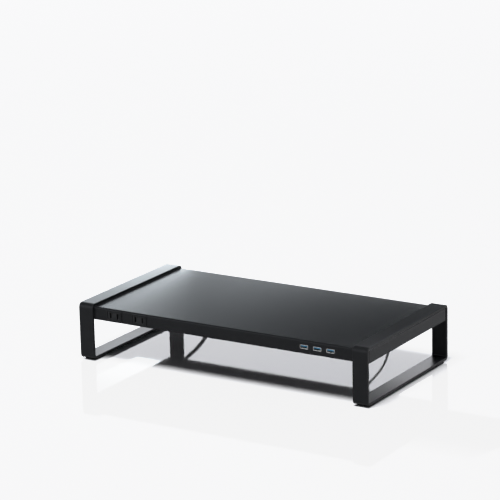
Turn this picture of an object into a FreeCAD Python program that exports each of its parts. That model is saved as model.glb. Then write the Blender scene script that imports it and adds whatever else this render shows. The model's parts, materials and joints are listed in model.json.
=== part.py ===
"""Monitor riser stand with two AC outlets and a three-port USB hub.

Millimetres, +Z up, +X to the right, -Y to the front. The origin is on the
desk, under the centre of the two leg frames.
"""
import FreeCAD, Part
import math
import os

V = FreeCAD.Vector
X_AXIS = V(1, 0, 0)
Y_AXIS = V(0, 1, 0)
Z_AXIS = V(0, 0, 1)

# Overall size
WIDTH = 500.0
DEPTH = 250.0
HEIGHT = 90.0
FIT = 0.2
TINY = 1e-6

# Leg frames: rings of flat bar, closed round the ends of the deck
BAR_WIDTH = 25.0
BAR_THICK = 4.3
RING_BEND = 7.0
BAR_EDGE = 0.6
PAD_THICK = 2.5
PAD_LENGTH = 30.0
PAD_WIDTH = 21.0
PAD_CORNER = 4.0
PAD_INSET = 7.0
LEG_X = (WIDTH - BAR_WIDTH) / 2

# Deck: a pan of sheet steel, open below, with rim strips turned in
SHEET = 1.2
FLANGE = 20.0
LIP = 8.0
SHEET_BEND = 2.5
SEAT = 0.3
END_INSET = 0.7
DECK_X = WIDTH / 2 - END_INSET
DECK_Y = DEPTH / 2 - BAR_THICK - FIT
DECK_TOP = HEIGHT - BAR_THICK + SEAT
DECK_BOTTOM = DECK_TOP - FLANGE
CEILING = DECK_TOP - SHEET
LIP_TOP = DECK_BOTTOM + SHEET
FRONT_FACE = -DECK_Y
FRONT_INNER = FRONT_FACE + SHEET

# Hat stiffeners spot-welded under the deck
HAT_LENGTH = 380.0
HAT_HEIGHT = 6.0
HAT_CROWN = 24.0
HAT_BRIM = 10.0
HAT_Y = (-20.0, 60.0)

# Screws through the deck into the leg frames
FRAME_SCREW_Y = (-90.0, 0.0, 90.0)
SCREW_SHANK = 4.0
SCREW_HEAD = 7.6
SCREW_HEAD_HEIGHT = 2.4
SCREW_BITE = 3.3

# Plastic modules behind the front flange
MODULE_TOP = CEILING - FIT
MODULE_BOTTOM = LIP_TOP + FIT
MODULE_FRONT = FRONT_INNER + FIT
MODULE_WALL = 1.6
COVER_THICK = 2.0
RIM_WALL = 0.8
PORT_Z = 76.0
EAR_LENGTH = 9.0
EAR_THICK = 2.0
STUD = 3.0
STUD_LENGTH = 6.0
NUT_FLATS = 5.5
NUT_HEIGHT = 2.4
HOLE_PLAY = 0.15

# Outlet module
OUTLET_X = (-187.8, -142.8)
OUTLET_LEFT = -214.0
OUTLET_RIGHT = -117.0
OUTLET_BACK = -76.0
BEZEL_WIDTH = 26.0
BEZEL_HEIGHT = 16.4
BEZEL_PROUD = 1.6
BEZEL_CORNER = 1.2
BEZEL_RIM = 1.0
GROOVE_WIDTH = 1.4
GROOVE_DEPTH = 1.1
INSERT_WIDTH = 22.6
INSERT_HEIGHT = 11.6
INSERT_BACK = -106.0
SLOT_PITCH = 12.7
SLOT_WIDTH = 2.8
SLOT_HEIGHT = 9.0
SLOT_EASE = 0.5
SLOT_WALL = 5.0
POCKET_WIDTH = 5.4
POCKET_HEIGHT = 10.0
BLADE_THICK = 1.5
CLIP_LEAF = 0.6
CLIP_HEIGHT = 7.0
BAR_STRIP = 2.0
BUS_FRONT = -105.4
BUS_THICK = 0.8
CORE_D = 1.8
CORE_OFFSET = 1.6
CORE_SOLDER_X = -184.0

# USB hub module
USB_X = (143.0, 165.0, 187.0)
HUB_LEFT = 128.0
HUB_RIGHT = 202.0
HUB_BACK = -73.0
SHELL_WIDTH = 13.1
SHELL_HEIGHT = 5.7
SHELL_WALL = 0.4
SHELL_DEPTH = 17.0
SHELL_PROUD = 0.2
TONGUE_WIDTH = 11.1
TONGUE_THICK = 1.8
TONGUE_RISE = 1.0
PIN_WIDTH = 1.0
PIN_PITCH = 2.4
BOARD_THICK = 1.6
BOARD_BACK = -80.0
CHIP_SIZE = 7.0
WIRE_D = 0.8
WIRE_PITCH = 1.0
WIRE_LANDING = 6.0

# Mains cord
MAINS_D = 6.0
MAINS_EXIT = (-206.0, -50.0, 76.0)
MAINS_ROUTE = [
    MAINS_EXIT,
    (-206.0, -24.0, 76.0),
    (-208.0, 18.0, 73.8),
    (-209.5, 64.0, 66.8),
    (-211.0, 110.0, 59.6),
    (-212.0, 143.0, 53.2),
    (-212.5, 168.0, 43.6),
    (-213.3, 189.8, 29.8),
    (-210.6, 204.9, 17.2),
    (-203.2, 217.6, 8.8),
    (-192.1, 226.9, 4.9),
    (-178.0, 232.0, 3.9),
    (-164.0, 232.0, 3.9),
]
MAINS_TURNS = 5
MAINS_COIL_R = 35.6
MAINS_COIL_X = -137.0
MAINS_WIDE = 3
MAINS_LIFT = 0.9
MAINS_STUB = 27.0
GLAND_BASE = 11.0
GLAND_TIP = 7.6
GLAND_NECK = 8.6

# Mains plug
PLUG_WIDTH = 25.0
PLUG_HEIGHT = 18.0
PLUG_LENGTH = 24.0
PLUG_BOOT = 16.0
PLUG_ROUND = 4.0
BLADE_LENGTH = 17.0
BLADE_HEIGHT = 6.3

# USB cable
USB_D = 3.4
USB_EXIT = (140.0, -57.0, 76.0)
USB_ROUTE = [
    USB_EXIT,
    (140.0, -38.0, 76.0),
    (135.0, 2.0, 74.8),
    (125.0, 42.0, 72.0),
    (116.5, 82.0, 67.4),
    (110.5, 117.0, 62.6),
    (109.0, 143.0, 57.4),
    (110.0, 166.0, 50.0),
    (111.5, 183.0, 38.6),
    (111.0, 193.0, 25.5),
    (107.5, 200.0, 13.5),
    (100.5, 206.5, 6.0),
    (90.0, 211.5, 2.9),
    (78.0, 213.0, 2.2),
    (68.0, 213.0, 2.2),
]
USB_TURNS = 7
USB_COIL_R = 19.15
USB_COIL_X = 52.0
USB_WIDE = 4
USB_LIFT = 0.5
USB_STUB = 16.0
RELIEF_BASE = 7.0
RELIEF_TIP = 4.6

# USB plug
HOOD_WIDTH = 17.0
HOOD_HEIGHT = 10.0
HOOD_LENGTH = 27.0
HOOD_BOOT = 9.0
HOOD_ROUND = 2.5
NOSE_WIDTH = 12.0
NOSE_HEIGHT = 4.5
NOSE_LENGTH = 12.5
NOSE_WALL = 0.4

# Both coils
ARC_SHARE = 0.45
COIL_PLAY = 0.15
TIE_SHARE = 1.5
TIE_PLAY = 0.1


def box(x_range, y_range, z_range):
    """A block between two corners."""
    size = [high - low for low, high in (x_range, y_range, z_range)]
    return Part.makeBox(*size, V(x_range[0], y_range[0], z_range[0]))


def span(centre, size):
    """The two ends of a length about its centre."""
    return (centre - size / 2, centre + size / 2)


def rod(start, end, radius):
    """A round bar between two points."""
    start, end = V(*start), V(*end)
    return Part.makeCylinder(radius, (end - start).Length, start, end - start)


def taper(start, end, radius_start, radius_end):
    """A round taper between two points."""
    start, end = V(*start), V(*end)
    return Part.makeCone(radius_start, radius_end, (end - start).Length, start, end - start)


def upright_edges(shape, axis):
    """The edges of a block that run along one axis."""
    found = []
    for edge in shape.Edges:
        along = abs(edge.tangentAt(edge.FirstParameter).dot(axis))
        if abs(along - 1) < TINY:
            found.append(edge)
    return found


def rounded_box(x_range, y_range, z_range, radius, axis):
    """A block with the four edges along one axis rounded."""
    block = box(x_range, y_range, z_range)
    return block.makeFillet(radius, upright_edges(block, axis))


def group(shapes):
    """Separate solids kept together in one node."""
    return Part.makeCompound(shapes)


def save(name, shape):
    """Check a sub-part and write it."""
    if not shape.isValid():
        raise ValueError(name + " is not a valid shape")
    shape.exportStep("parts/" + name + ".step")


# Leg frames and feet

def ring_outline(x_range, inset, radius):
    """The closed outline of a leg frame, inset from its outer size."""
    y_range = (-DEPTH / 2 + inset, DEPTH / 2 - inset)
    return rounded_box(x_range, y_range, (PAD_THICK + inset, HEIGHT - inset), radius, X_AXIS)


def leg_frame(side):
    """One ring of flat bar, with its long edges eased and its screw holes tapped."""
    x_range = span(side * LEG_X, BAR_WIDTH)
    ring = ring_outline(x_range, 0, RING_BEND)
    ring = ring.cut(ring_outline(x_range, BAR_THICK, RING_BEND - BAR_THICK))
    rims = []
    for edge in ring.Edges:
        if edge.BoundBox.XLength < TINY:
            rims.append(edge)
    ring = ring.makeFillet(BAR_EDGE, rims)
    under = HEIGHT - BAR_THICK
    for y in FRAME_SCREW_Y:
        foot = (side * LEG_X, y, under - 1)
        top = (side * LEG_X, y, under + SCREW_BITE + HOLE_PLAY)
        ring = ring.cut(rod(foot, top, SCREW_SHANK / 2 + HOLE_PLAY))
    return ring


def foot_pad(side, end):
    """A rubber pad under one end of a leg frame."""
    outer = DEPTH / 2 - PAD_INSET
    y_range = sorted((end * outer, end * (outer - PAD_LENGTH)))
    return rounded_box(span(side * LEG_X, PAD_WIDTH), y_range, (0, PAD_THICK), PAD_CORNER, Z_AXIS)


# Deck

def front_windows():
    """The openings in the front flange, for the outlets and the USB ports."""
    y_range = (FRONT_FACE - 1, FRONT_INNER + 1)
    windows = []
    for x in OUTLET_X:
        size_x, size_z = INSERT_WIDTH + 2 * FIT, INSERT_HEIGHT + 2 * FIT
        windows.append(box(span(x, size_x), y_range, span(PORT_Z, size_z)))
    for x in USB_X:
        size_x, size_z = SHELL_WIDTH + 3 * FIT, SHELL_HEIGHT + 3 * FIT
        windows.append(box(span(x, size_x), y_range, span(PORT_Z, size_z)))
    return windows


def deck_hollow(top):
    """The space inside the flanges, from their lower edge up."""
    inside_x = DECK_X - SHEET
    inside_y = DECK_Y - SHEET
    z_range = (DECK_BOTTOM, top)
    return rounded_box((-inside_x, inside_x), (-inside_y, inside_y), z_range, SHEET_BEND - SHEET, Z_AXIS)


def deck_rims():
    """Flat strips that turn in from the flanges' lower edges, one for each side."""
    mouth_x = DECK_X - SHEET - LIP
    mouth_y = DECK_Y - SHEET - LIP
    mouth = box((-mouth_x, mouth_x), (-mouth_y, mouth_y), (DECK_BOTTOM, LIP_TOP))
    rim = deck_hollow(LIP_TOP).cut(mouth)
    z_range = (DECK_BOTTOM, LIP_TOP)
    sides = {
        "front": box((-DECK_X, DECK_X), (-DECK_Y, -mouth_y), z_range),
        "rear": box((-DECK_X, DECK_X), (mouth_y, DECK_Y), z_range),
        "left": box((-DECK_X, -mouth_x), (-mouth_y, mouth_y), z_range),
        "right": box((mouth_x, DECK_X), (-mouth_y, mouth_y), z_range),
    }
    return {name: rim.common(side) for name, side in sides.items()}


def deck_pan():
    """Sheet pan open below, with seats for the leg frames and module openings."""
    outer = box((-DECK_X, DECK_X), (-DECK_Y, DECK_Y), (DECK_BOTTOM, DECK_TOP))
    bends = upright_edges(outer, Z_AXIS)
    for edge in outer.Edges:
        if edge.BoundBox.ZMin > DECK_TOP - TINY:
            bends.append(edge)
    pan = outer.makeFillet(SHEET_BEND, bends)
    pan = pan.cut(deck_hollow(CEILING))
    for side in (-1, 1):
        seat_x = span(side * LEG_X, BAR_WIDTH + 2 * FIT)
        seat = box(seat_x, (-DEPTH / 2, DEPTH / 2), (DECK_BOTTOM, DECK_TOP + 1))
        room = ring_outline(seat_x, BAR_THICK, RING_BEND - BAR_THICK + SEAT)
        pan = pan.cut(seat.cut(room))
        x = side * LEG_X
        for y in FRAME_SCREW_Y:
            pan = pan.cut(rod((x, y, CEILING - 1), (x, y, DECK_TOP), SCREW_SHANK / 2 + HOLE_PLAY))
    for window in front_windows():
        pan = pan.cut(window)
    return pan


def deck_stiffener(y):
    """Hat channel that stiffens the deck along its length."""
    half = HAT_LENGTH / 2
    z_low = CEILING - HAT_HEIGHT
    crown = box((-half, half), span(y, HAT_CROWN), (z_low, CEILING))
    groove = box((-half, half), span(y, HAT_CROWN - 2 * SHEET), (z_low + SHEET, CEILING))
    brims = box((-half, half), span(y, HAT_CROWN + 2 * HAT_BRIM), (CEILING - SHEET, CEILING))
    gap = box((-half, half), span(y, HAT_CROWN), (CEILING - SHEET, CEILING))
    return crown.cut(groove).fuse(brims.cut(gap)).removeSplitter()


def frame_screws():
    """Screws from under the deck into both leg frames."""
    screws = []
    for side in (-1, 1):
        for y in FRAME_SCREW_Y:
            x = side * LEG_X
            head = rod((x, y, CEILING - SCREW_HEAD_HEIGHT), (x, y, CEILING), SCREW_HEAD / 2)
            shank = rod((x, y, CEILING), (x, y, HEIGHT - BAR_THICK + SCREW_BITE), SCREW_SHANK / 2)
            recess = rod((x, y, CEILING - SCREW_HEAD_HEIGHT - 1), (x, y, CEILING - 1), SCREW_SHANK / 4)
            screws.append(head.fuse(shank).cut(recess))
    return group(screws)


# Parts that both modules share

def ear_centres(left, right):
    """Where a module's two ears take their studs."""
    y = MODULE_FRONT + 3 * EAR_LENGTH / 2
    return [(left - EAR_LENGTH / 2, y), (right + EAR_LENGTH / 2, y)]


def module_case(left, right, back, windows):
    """A case open at the back, with a front wall, two ears and port windows."""
    y_range = (MODULE_FRONT, back - COVER_THICK)
    case = box((left, right), y_range, (MODULE_BOTTOM, MODULE_TOP))
    inner_x = (left + MODULE_WALL, right - MODULE_WALL)
    inner_y = (MODULE_FRONT + MODULE_WALL, back)
    inner_z = (MODULE_BOTTOM + MODULE_WALL, MODULE_TOP - MODULE_WALL)
    case = case.cut(box(inner_x, inner_y, inner_z))
    for x, y in ear_centres(left, right):
        reach = EAR_LENGTH / 2
        ear = box((x - reach, x + reach), span(y, EAR_LENGTH), (MODULE_TOP - EAR_THICK, MODULE_TOP))
        bore = rod((x, y, MODULE_TOP - EAR_THICK - 1), (x, y, MODULE_TOP + 1), STUD / 2 + HOLE_PLAY)
        case = case.fuse(ear).cut(bore)
    for window in windows:
        case = case.cut(window)
    return case.removeSplitter()


def back_cover(left, right, back, lead_x, bore):
    """The plate that closes a case, with a rim inside it and a hole for the lead."""
    plate = box((left, right), (back - COVER_THICK, back), (MODULE_BOTTOM, MODULE_TOP))
    step = MODULE_WALL + FIT
    rim_x = (left + step, right - step)
    rim_z = (MODULE_BOTTOM + step, MODULE_TOP - step)
    rim_y = (back - 2 * COVER_THICK, back - COVER_THICK)
    rim = box(rim_x, rim_y, rim_z)
    core_x = (rim_x[0] + RIM_WALL, rim_x[1] - RIM_WALL)
    core_z = (rim_z[0] + RIM_WALL, rim_z[1] - RIM_WALL)
    rim = rim.cut(box(core_x, rim_y, core_z))
    hole = rod((lead_x, back - 3 * COVER_THICK, PORT_Z), (lead_x, back + 1, PORT_Z), bore / 2 + FIT)
    return plate.fuse(rim).cut(hole).removeSplitter()


def module_studs():
    """Studs welded under the deck, two for each module."""
    studs = []
    for left, right in ((OUTLET_LEFT, OUTLET_RIGHT), (HUB_LEFT, HUB_RIGHT)):
        for x, y in ear_centres(left, right):
            studs.append(rod((x, y, CEILING - STUD_LENGTH), (x, y, CEILING), STUD / 2))
    return group(studs)


def module_nuts():
    """Hexagon nuts that hold the modules' ears up against the deck."""
    nuts = []
    top = MODULE_TOP - EAR_THICK
    for left, right in ((OUTLET_LEFT, OUTLET_RIGHT), (HUB_LEFT, HUB_RIGHT)):
        for x, y in ear_centres(left, right):
            corners = []
            for step in range(7):
                angle = math.radians(60 * step)
                reach = NUT_FLATS / math.sqrt(3)
                corners.append(V(x + reach * math.cos(angle), y + reach * math.sin(angle), top - NUT_HEIGHT))
            prism = Part.Face(Part.makePolygon(corners)).extrude(V(0, 0, NUT_HEIGHT))
            bore = rod((x, y, top - 2 * NUT_HEIGHT), (x, y, top + 1), STUD / 2 + HOLE_PLAY)
            nuts.append(prism.cut(bore))
    return group(nuts)


def lead_gland(exit_point, cover_back, base, neck, tip):
    """Tapered strain relief with a neck through the cover and a collar inside it."""
    x, y, z = exit_point
    shoulder = cover_back + COVER_THICK
    inside = cover_back - COVER_THICK
    body = rod((x, cover_back, z), (x, shoulder, z), base / 2)
    body = body.fuse(taper((x, shoulder, z), (x, y, z), base / 2 - 0.6, tip / 2))
    body = body.fuse(rod((x, inside, z), (x, cover_back, z), neck / 2))
    body = body.fuse(rod((x, inside - MODULE_WALL, z), (x, inside, z), base / 2 - 0.6))
    return body.removeSplitter()


# Outlet module

def outlet_windows():
    """The two openings in the outlet case's front wall."""
    windows = []
    for x in OUTLET_X:
        x_range = span(x, INSERT_WIDTH + 2 * FIT)
        z_range = span(PORT_Z, INSERT_HEIGHT + 2 * FIT)
        windows.append(box(x_range, (MODULE_FRONT - 1, MODULE_FRONT + MODULE_WALL + 1), z_range))
    return windows


def slot_centres(x):
    """The two blade slots of an outlet."""
    return (x - SLOT_PITCH / 2, x + SLOT_PITCH / 2)


def slot_mouth(x):
    """The eased mouth of a slot, which narrows from the outlet's face inwards."""
    face = FRONT_FACE - BEZEL_PROUD
    x_low, x_high = span(x, SLOT_WIDTH)
    z_low, z_high = span(PORT_Z, SLOT_HEIGHT)
    return Part.makeWedge(
        x_low - SLOT_EASE, face, z_low - SLOT_EASE, z_low, x_low,
        x_high + SLOT_EASE, face + SLOT_EASE, z_high + SLOT_EASE, z_high, x_high
    )


def bezel_groove(x):
    """The groove between an outlet's rim and its face."""
    groove_y = (FRONT_FACE - BEZEL_PROUD, FRONT_FACE - BEZEL_PROUD + GROOVE_DEPTH)
    outer_edge = 2 * BEZEL_RIM
    inner_edge = outer_edge + 2 * GROOVE_WIDTH
    outer = box(span(x, BEZEL_WIDTH - outer_edge), groove_y, span(PORT_Z, BEZEL_HEIGHT - outer_edge))
    inner = box(span(x, BEZEL_WIDTH - inner_edge), groove_y, span(PORT_Z, BEZEL_HEIGHT - inner_edge))
    return outer.cut(inner)


def outlet_insert(x):
    """Face and body of one outlet: a rim, a groove, and a face with two slots and their pockets."""
    bezel_y = (FRONT_FACE - BEZEL_PROUD, FRONT_FACE)
    bezel_z = span(PORT_Z, BEZEL_HEIGHT)
    bezel = rounded_box(span(x, BEZEL_WIDTH), bezel_y, bezel_z, BEZEL_CORNER, Y_AXIS)
    body = box(span(x, INSERT_WIDTH), (FRONT_FACE, INSERT_BACK), span(PORT_Z, INSERT_HEIGHT))
    insert = bezel.cut(bezel_groove(x)).fuse(body)
    pocket_front = FRONT_FACE + SLOT_WALL - BEZEL_PROUD
    for slot_x in slot_centres(x):
        slot_y = (FRONT_FACE - 2 * BEZEL_PROUD, pocket_front + 1)
        insert = insert.cut(box(span(slot_x, SLOT_WIDTH), slot_y, span(PORT_Z, SLOT_HEIGHT)))
        insert = insert.cut(slot_mouth(slot_x))
        pocket_y = (pocket_front, INSERT_BACK + 1)
        insert = insert.cut(box(span(slot_x, POCKET_WIDTH), pocket_y, span(PORT_Z, POCKET_HEIGHT)))
    return insert.removeSplitter()


def contact_bar(pole):
    """Brass strip behind both outlets, with a spring clip for one blade of each."""
    level = PORT_Z + pole * (CLIP_HEIGHT / 2 + BAR_STRIP / 2)
    slots = [x + pole * SLOT_PITCH / 2 for x in OUTLET_X]
    clip_width = BLADE_THICK + 2 * CLIP_LEAF
    bus_y = (BUS_FRONT, BUS_FRONT + BUS_THICK)
    x_range = (slots[0] - clip_width / 2, slots[1] + clip_width / 2)
    bar = box(x_range, bus_y, span(level, BAR_STRIP))
    clip_front = FRONT_FACE + SLOT_WALL
    for slot_x in slots:
        web = box(span(slot_x, clip_width), bus_y, span(PORT_Z, CLIP_HEIGHT))
        bar = bar.fuse(web)
        for side in (-1, 1):
            leaf_x = slot_x + side * (BLADE_THICK + CLIP_LEAF) / 2
            leaf = box(span(leaf_x, CLIP_LEAF), (clip_front, BUS_FRONT), span(PORT_Z, CLIP_HEIGHT))
            bar = bar.fuse(leaf)
    return bar.removeSplitter()


def gland_inner_end(exit_point, cover_back):
    """Where the cores leave a gland, inside its case."""
    return exit_point[0], cover_back - COVER_THICK - MODULE_WALL, exit_point[2]


def outlet_leads():
    """The cord's two cores, from the gland to the contact bars."""
    x, y, z = gland_inner_end(MAINS_EXIT, OUTLET_BACK)
    bar_y = BUS_FRONT + BUS_THICK
    leads = []
    for pole in (-1, 1):
        level = PORT_Z + pole * (CLIP_HEIGHT / 2 + BAR_STRIP / 2)
        points = [
            (x, y, z + pole * CORE_OFFSET),
            (x, (2 * y + bar_y) / 3, z + pole * CORE_OFFSET),
            (CORE_SOLDER_X, (y + 2 * bar_y) / 3, level),
            (CORE_SOLDER_X, bar_y, level),
        ]
        leads.append(round_sweep(points, CORE_D))
    return group(leads)


# USB hub module

def hub_windows():
    """The three openings in the hub case's front wall."""
    windows = []
    for x in USB_X:
        x_range = span(x, SHELL_WIDTH + 3 * FIT)
        z_range = span(PORT_Z, SHELL_HEIGHT + 3 * FIT)
        windows.append(box(x_range, (MODULE_FRONT - 1, MODULE_FRONT + MODULE_WALL + 1), z_range))
    return windows


def usb_shell(x):
    """Folded metal shell of a USB-A socket, closed at the back."""
    front = FRONT_FACE - SHELL_PROUD
    back = front + SHELL_DEPTH
    outer_z = span(PORT_Z, SHELL_HEIGHT)
    outer = rounded_box(span(x, SHELL_WIDTH), (front, back), outer_z, 2 * SHELL_WALL, Y_AXIS)
    inner_width = SHELL_WIDTH - 2 * SHELL_WALL
    inner_height = SHELL_HEIGHT - 2 * SHELL_WALL
    inner_y = (front - 1, back - SHELL_WALL)
    inner = rounded_box(span(x, inner_width), inner_y, span(PORT_Z, inner_height), SHELL_WALL, Y_AXIS)
    return outer.cut(inner)


def usb_tongue(x):
    """Plastic tongue of a socket, on a block at the back of its shell."""
    back = FRONT_FACE - SHELL_PROUD + SHELL_DEPTH - SHELL_WALL - FIT
    tongue_y = (FRONT_FACE + 2 * SHELL_WALL, back)
    tongue = box(span(x, TONGUE_WIDTH), tongue_y, span(PORT_Z + TONGUE_RISE, TONGUE_THICK))
    block_width = SHELL_WIDTH - 4 * SHELL_WALL
    block_height = SHELL_HEIGHT - 4 * SHELL_WALL
    block = box(span(x, block_width), (back - 4 * SHELL_WALL, back), span(PORT_Z, block_height))
    return tongue.fuse(block).removeSplitter()


def usb_pins():
    """Four contact strips under each tongue."""
    pins = []
    top = PORT_Z + TONGUE_RISE - TONGUE_THICK / 2
    y_range = (FRONT_FACE + 4 * SHELL_WALL, FRONT_FACE + SHELL_DEPTH / 2)
    for x in USB_X:
        for step in range(4):
            pin_x = x + (step - 1.5) * PIN_PITCH
            pins.append(box(span(pin_x, PIN_WIDTH), y_range, (top - SHELL_WALL / 2, top)))
    return group(pins)


def hub_board():
    """Circuit board that the three sockets stand on."""
    top = PORT_Z - SHELL_HEIGHT / 2
    step = MODULE_WALL + FIT
    y_range = (MODULE_FRONT + step, BOARD_BACK)
    return box((HUB_LEFT + step, HUB_RIGHT - step), y_range, (top - BOARD_THICK, top))


def hub_chip():
    """Hub controller chip on the board, behind the sockets."""
    top = PORT_Z - SHELL_HEIGHT / 2
    y = (FRONT_FACE + SHELL_DEPTH + BOARD_BACK) / 2
    return box(span(USB_X[1], CHIP_SIZE), span(y, CHIP_SIZE), (top, top + 1))


def hub_leads():
    """The cable's four wires, from the relief to the board."""
    x, y, z = gland_inner_end(USB_EXIT, HUB_BACK)
    board_top = PORT_Z - SHELL_HEIGHT / 2
    leads = []
    for step in range(4):
        wire_x = x + (step - 1.5) * WIRE_PITCH
        landing = board_top + WIRE_D / 2
        points = [
            (wire_x, y, z),
            (wire_x, y - WIRE_LANDING / 2, z),
            (wire_x, BOARD_BACK - WIRE_LANDING / 2, landing),
            (wire_x, BOARD_BACK - WIRE_LANDING, landing),
        ]
        leads.append(round_sweep(points, WIRE_D))
    return group(leads)


# Cords

def unit(vector):
    """The direction of a vector."""
    return vector * (1 / vector.Length)


def route_wire(points):
    """Straight runs joined by tangent arcs, each as large as its two runs allow."""
    corners = [V(*point) for point in points]
    edges = []
    radii = []
    start = corners[0]
    for before, corner, after in zip(corners, corners[1:], corners[2:]):
        way_in = unit(corner - before)
        way_out = unit(after - corner)
        reach = ARC_SHARE * min((corner - before).Length, (after - corner).Length)
        half_turn = way_in.getAngle(way_out) / 2
        radius = reach / math.tan(half_turn)
        arc_start = corner - way_in * reach
        arc_end = corner + way_out * reach
        sagitta = radius / math.cos(half_turn) - radius
        middle = corner + unit(way_out - way_in) * sagitta
        edges.append(Part.LineSegment(start, arc_start).toShape())
        edges.append(Part.Arc(arc_start, middle, arc_end).toShape())
        radii.append(radius)
        start = arc_end
    edges.append(Part.LineSegment(start, corners[-1]).toShape())
    return Part.Wire(edges), radii


def round_sweep(points, diameter):
    """A round section swept along a route."""
    start, following = V(*points[0]), V(*points[1])
    ring = Part.Wire(Part.makeCircle(diameter / 2, start, following - start))
    return route_wire(points)[0].makePipeShell([ring], True, False)


def cord_tube(name, points, diameter):
    """The stretch of a cord that isn't coiled; prints its bends and its volume."""
    path, radii = route_wire(points)
    tube = round_sweep(points, diameter)
    expected = math.pi * diameter ** 2 / 4 * path.Length
    print(name, "length", round(path.Length, 1), "volume ratio", round(tube.Volume / expected, 4))
    print(name, "arc radii", [round(radius, 1) for radius in radii])
    return tube


def coil_levels(lift, diameter):
    """Heights of the lower and the upper layer of a coil's turns."""
    return lift + diameter / 2, lift + 3 * diameter / 2


def coil_geometry(route, coil_radius, wide, diameter):
    """Radius of a coil's outermost turn, and the centre's Y behind the route's end."""
    outer_turn = coil_radius + (wide - 1) * diameter / 2
    return outer_turn, route[-1][1] - outer_turn


def cord_coil(route, heading, centre_x, coil_radius, wide, lift, stub, diameter):
    """A coil's outer shape: a rounded ring, with the cord's two ends leaving it."""
    outer_turn, centre_y = coil_geometry(route, coil_radius, wide, diameter)
    low, high = coil_levels(lift, diameter)
    r_range = span(coil_radius, wide * diameter + 2 * COIL_PLAY)
    z_range = (lift - COIL_PLAY / 2, lift + 2 * diameter + COIL_PLAY)
    section = box(r_range, (-1, 0), z_range)
    section = section.makeFillet(diameter / 2 - COIL_PLAY, upright_edges(section, Y_AXIS))
    face = [side for side in section.Faces if side.BoundBox.YMin > -TINY][0]
    ring = face.revolve(V(0, 0, 0), Z_AXIS, 360)
    ring.translate(V(centre_x, centre_y, 0))
    line_y = centre_y + outer_turn
    entry = rod((centre_x - heading * stub, line_y, low), (centre_x, line_y, low), diameter / 2)
    leave = rod((centre_x, line_y, high), (centre_x + heading * stub, line_y, high), diameter / 2)
    return ring.fuse(entry).fuse(leave)


def coil_tie(route, centre_x, coil_radius, wide, lift, diameter):
    """A strap closed round the coil's turns, on the side nearer to the stand."""
    centre_y = coil_geometry(route, coil_radius, wide, diameter)[1]
    y = centre_y - coil_radius
    width = TIE_SHARE * diameter
    half = wide * diameter / 2 + COIL_PLAY + TIE_PLAY
    inner_radius = coil_radius - wide * diameter / 2
    bow = inner_radius - math.sqrt(inner_radius ** 2 - (width / 2) ** 2)
    strap = lift - COIL_PLAY / 2 - TIE_PLAY
    y_range = (y - half, y + half + bow)
    z_range = (strap, lift + 2 * diameter + COIL_PLAY + TIE_PLAY)
    outer_y = (y_range[0] - strap, y_range[1] + strap)
    outer = rounded_box(span(centre_x, width), outer_y, (0, z_range[1] + strap), strap, X_AXIS)
    return outer.cut(box(span(centre_x, 2 * width), y_range, z_range))


def cord_clip(points, leg, diameter):
    """A clip stuck under the deck, with its ring round the middle of one straight run."""
    start, end = V(*points[leg]), V(*points[leg + 1])
    middle = (start + end) * 0.5
    along = unit(end - start)
    width = diameter
    ring_r = diameter / 2 + 1.6
    low, high = middle - along * (width / 2), middle + along * (width / 2)
    ring = rod(low, high, ring_r)
    stem = box(span(middle.x, diameter / 2), span(middle.y, width - 1), (middle.z, CEILING - 1))
    foot_y = span(middle.y, 2 * width)
    foot = rounded_box(span(middle.x, 3 * diameter), foot_y, (CEILING - 1, CEILING), 1, Z_AXIS)
    bore = rod(middle - along * width, middle + along * width, diameter / 2 + FIT)
    return ring.fuse(stem).fuse(foot).cut(bore).removeSplitter()


def coil_exit(route, heading, centre_x, lift, stub, diameter):
    """Where the cord's tail leaves the coil's solid."""
    return centre_x + heading * stub, route[-1][1], coil_levels(lift, diameter)[1]


def mains_plug_body():
    """Two-pin plug lying flat, with a tapered boot where the cord enters it."""
    x, y, z = coil_exit(MAINS_ROUTE, 1, MAINS_COIL_X, MAINS_LIFT, MAINS_STUB, MAINS_D)
    boot = taper((x, y, z), (x + PLUG_BOOT, y, z), MAINS_D / 2 + 0.8, GLAND_BASE / 2)
    body_x = (x + PLUG_BOOT, x + PLUG_BOOT + PLUG_LENGTH)
    body = rounded_box(body_x, span(y, PLUG_WIDTH), (0, PLUG_HEIGHT), PLUG_ROUND, X_AXIS)
    return boot.fuse(body)


def mains_plug_blades():
    """The plug's two flat blades."""
    x, y, _ = coil_exit(MAINS_ROUTE, 1, MAINS_COIL_X, MAINS_LIFT, MAINS_STUB, MAINS_D)
    root = x + PLUG_BOOT + PLUG_LENGTH
    blades = []
    for side in (-1, 1):
        y_range = span(y + side * SLOT_PITCH / 2, BLADE_THICK)
        blade = box((root, root + BLADE_LENGTH), y_range, span(PLUG_HEIGHT / 2, BLADE_HEIGHT))
        tips = []
        for edge in upright_edges(blade, Y_AXIS):
            if edge.BoundBox.XMin > root + 1:
                tips.append(edge)
        blades.append(blade.makeFillet(2 * BLADE_THICK - 1, tips))
    return group(blades)


def usb_plug_hood():
    """Moulded hood of the USB plug, with a short boot."""
    x, y, z = coil_exit(USB_ROUTE, -1, USB_COIL_X, USB_LIFT, USB_STUB, USB_D)
    boot = taper((x, y, z), (x - HOOD_BOOT, y, z), USB_D / 2 + 0.5, RELIEF_BASE / 2)
    hood_x = (x - HOOD_BOOT - HOOD_LENGTH, x - HOOD_BOOT)
    hood = rounded_box(hood_x, span(y, HOOD_WIDTH), (0, HOOD_HEIGHT), HOOD_ROUND, X_AXIS)
    return boot.fuse(hood)


def plug_nose_start():
    """Where the USB plug's metal nose begins."""
    x, y, _ = coil_exit(USB_ROUTE, -1, USB_COIL_X, USB_LIFT, USB_STUB, USB_D)
    return x - HOOD_BOOT - HOOD_LENGTH, y, HOOD_HEIGHT / 2


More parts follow.
